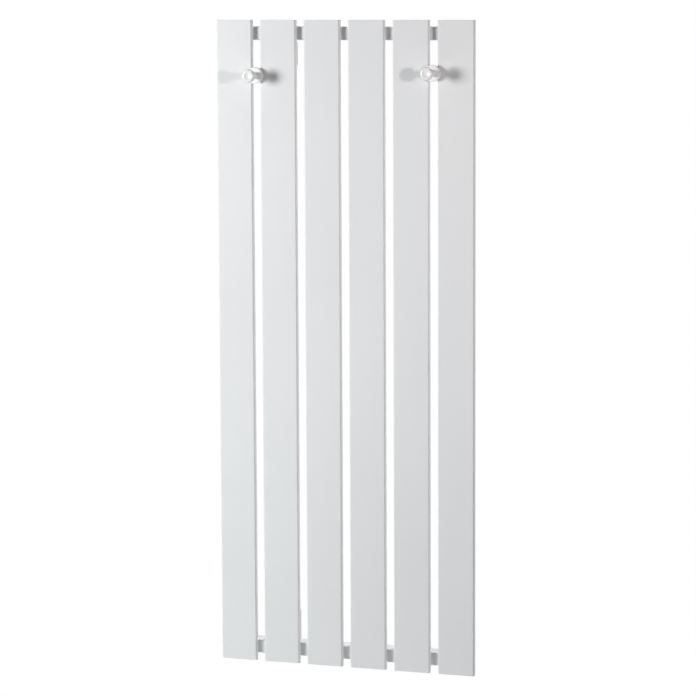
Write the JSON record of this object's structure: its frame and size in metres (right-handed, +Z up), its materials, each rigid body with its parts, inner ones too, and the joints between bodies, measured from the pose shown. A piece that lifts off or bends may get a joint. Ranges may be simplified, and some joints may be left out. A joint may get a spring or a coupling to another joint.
{
  "type": "wall radiator",
  "caption": "Tall white wall radiator of upright flat tubes on two hidden headers, with towel pegs clamped in its gaps, wall brackets, pipe sockets and an air-bleed valve.",
  "frame": {"origin": "on the wall plane, at the centre of the four bracket holes, which is the radiator's mid-height", "axes": "+X to the right as seen from the room, +Y into the wall, +Z up"},
  "size_m": [0.505, 0.124, 1.2225],
  "materials": {
    "white_enamel": "gloss",
    "bracket_coating": "satin",
    "peg_enamel": "gloss",
    "zinc_steel": "satin",
    "nickel_brass": "polished",
    "bare_brass": "satin",
    "white_nylon": "satin",
    "grey_pad": "matte",
    "black_rubber": "matte"
  },
  "bodies": {
    "radiator": {"flat_tube_1": "white_enamel", "flat_tube_2": "white_enamel", "flat_tube_3": "white_enamel", "flat_tube_4": "white_enamel", "flat_tube_5": "white_enamel", "flat_tube_6": "white_enamel", "tube_top_caps": "white_enamel", "tube_bottom_caps": "white_enamel", "top_header": "white_enamel", "bottom_header": "white_enamel", "vent_end_block": "white_enamel", "blank_end_block": "white_enamel", "bottom_header_end_plates": "white_enamel", "return_socket": "white_enamel", "flow_socket": "white_enamel", "flow_baffle": "zinc_steel", "hanging_pocket_top_left": "white_enamel", "bracket_liner_top_left": "white_nylon", "wall_bracket_top_left": "bracket_coating", "hanging_pocket_top_right": "white_enamel", "bracket_liner_top_right": "white_nylon", "wall_bracket_top_right": "bracket_coating", "hanging_pocket_bottom_left": "white_enamel", "bracket_liner_bottom_left": "white_nylon", "wall_bracket_bottom_left": "bracket_coating", "hanging_pocket_bottom_right": "white_enamel", "bracket_liner_bottom_right": "white_nylon", "wall_bracket_bottom_right": "bracket_coating", "vent_plug": "nickel_brass", "blanking_plug": "nickel_brass", "vent_seal": "black_rubber", "blanking_seal": "black_rubber"},
    "vent_screw": {"vent_screw": "bare_brass"},
    "vent_nozzle": {"vent_nozzle": "white_nylon"},
    "left_peg_carriage": {"left_peg_clamp_bar": "zinc_steel", "left_peg_rear_pads": "grey_pad"},
    "left_peg_spacer": {"left_peg_collar": "peg_enamel", "left_peg_front_pad": "grey_pad", "left_peg_sleeve": "peg_enamel"},
    "left_peg_handle": {"left_peg_head": "peg_enamel", "left_peg_screw": "zinc_steel"},
    "right_peg_carriage": {"right_peg_clamp_bar": "zinc_steel", "right_peg_rear_pads": "grey_pad"},
    "right_peg_spacer": {"right_peg_collar": "peg_enamel", "right_peg_front_pad": "grey_pad", "right_peg_sleeve": "peg_enamel"},
    "right_peg_handle": {"right_peg_head": "peg_enamel", "right_peg_screw": "zinc_steel"}
  },
  "joints": [
    {"name": "vent_screw_turn", "type": "hinge", "parent": "radiator", "child": "vent_screw", "pos_m": [-0.2385, -0.05, 0.585], "axis": [-1, 0, 0], "range_deg": [0, 360]},
    {"name": "vent_nozzle_turn", "type": "hinge", "parent": "radiator", "child": "vent_nozzle", "pos_m": [-0.2385, -0.05, 0.585], "axis": [-1, 0, 0], "continuous": true},
    {"name": "left_peg_slide", "type": "slide", "parent": "radiator", "child": "left_peg_carriage", "axis": [0, 0, 1], "range_m": [-1.0675, 0.0535]},
    {"name": "left_peg_release", "type": "slide", "parent": "left_peg_carriage", "child": "left_peg_spacer", "axis": [0, -1, 0], "range_m": [0, 0.002]},
    {"name": "left_peg_turn", "type": "hinge", "parent": "left_peg_spacer", "child": "left_peg_handle", "pos_m": [-0.174, -0.082, 0.507], "axis": [0, -1, 0], "range_deg": [0, 720]},
    {"name": "right_peg_slide", "type": "slide", "parent": "radiator", "child": "right_peg_carriage", "axis": [0, 0, 1], "range_m": [-1.0735, 0.0475]},
    {"name": "right_peg_release", "type": "slide", "parent": "right_peg_carriage", "child": "right_peg_spacer", "axis": [0, -1, 0], "range_m": [0, 0.002]},
    {"name": "right_peg_turn", "type": "hinge", "parent": "right_peg_spacer", "child": "right_peg_handle", "pos_m": [0.174, -0.082, 0.513], "axis": [0, -1, 0], "range_deg": [0, 720]}
  ],
  "couplings": [
    {"joint": "left_peg_turn", "follows": "left_peg_release", "rad_per_m": 6283},
    {"joint": "right_peg_turn", "follows": "right_peg_release", "rad_per_m": 6283}
  ]
}
